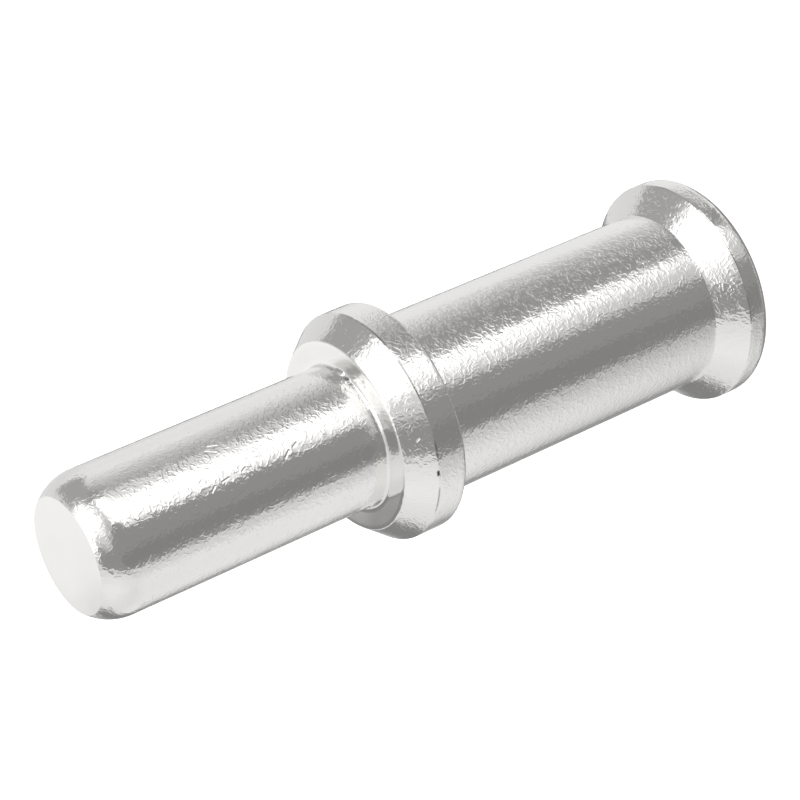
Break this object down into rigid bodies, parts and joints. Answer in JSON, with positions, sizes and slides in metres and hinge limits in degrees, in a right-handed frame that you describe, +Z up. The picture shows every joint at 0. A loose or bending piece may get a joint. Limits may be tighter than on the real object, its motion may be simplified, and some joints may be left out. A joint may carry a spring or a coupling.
{
  "type": "pin contact",
  "caption": "Solid turned pin contact with a round-edged front pin, a bevelled stop collar, a thicker barrel and a flared flat head.",
  "frame": {"origin": "centre of the head's flat face, on the surface that the pin stands on", "axes": "+Z up the pin's axis, from the head to the tip; the pin is round about it, so X and Y are free"},
  "size_m": [0.0032, 0.0032, 0.0105],
  "materials": {
    "plated_brass": "bright silver-coloured plating over turned brass, tumbled, with fine dents and scratches"
  },
  "bodies": {
    "root": {"contact_pin": "plated_brass"}
  },
  "joints": []
}
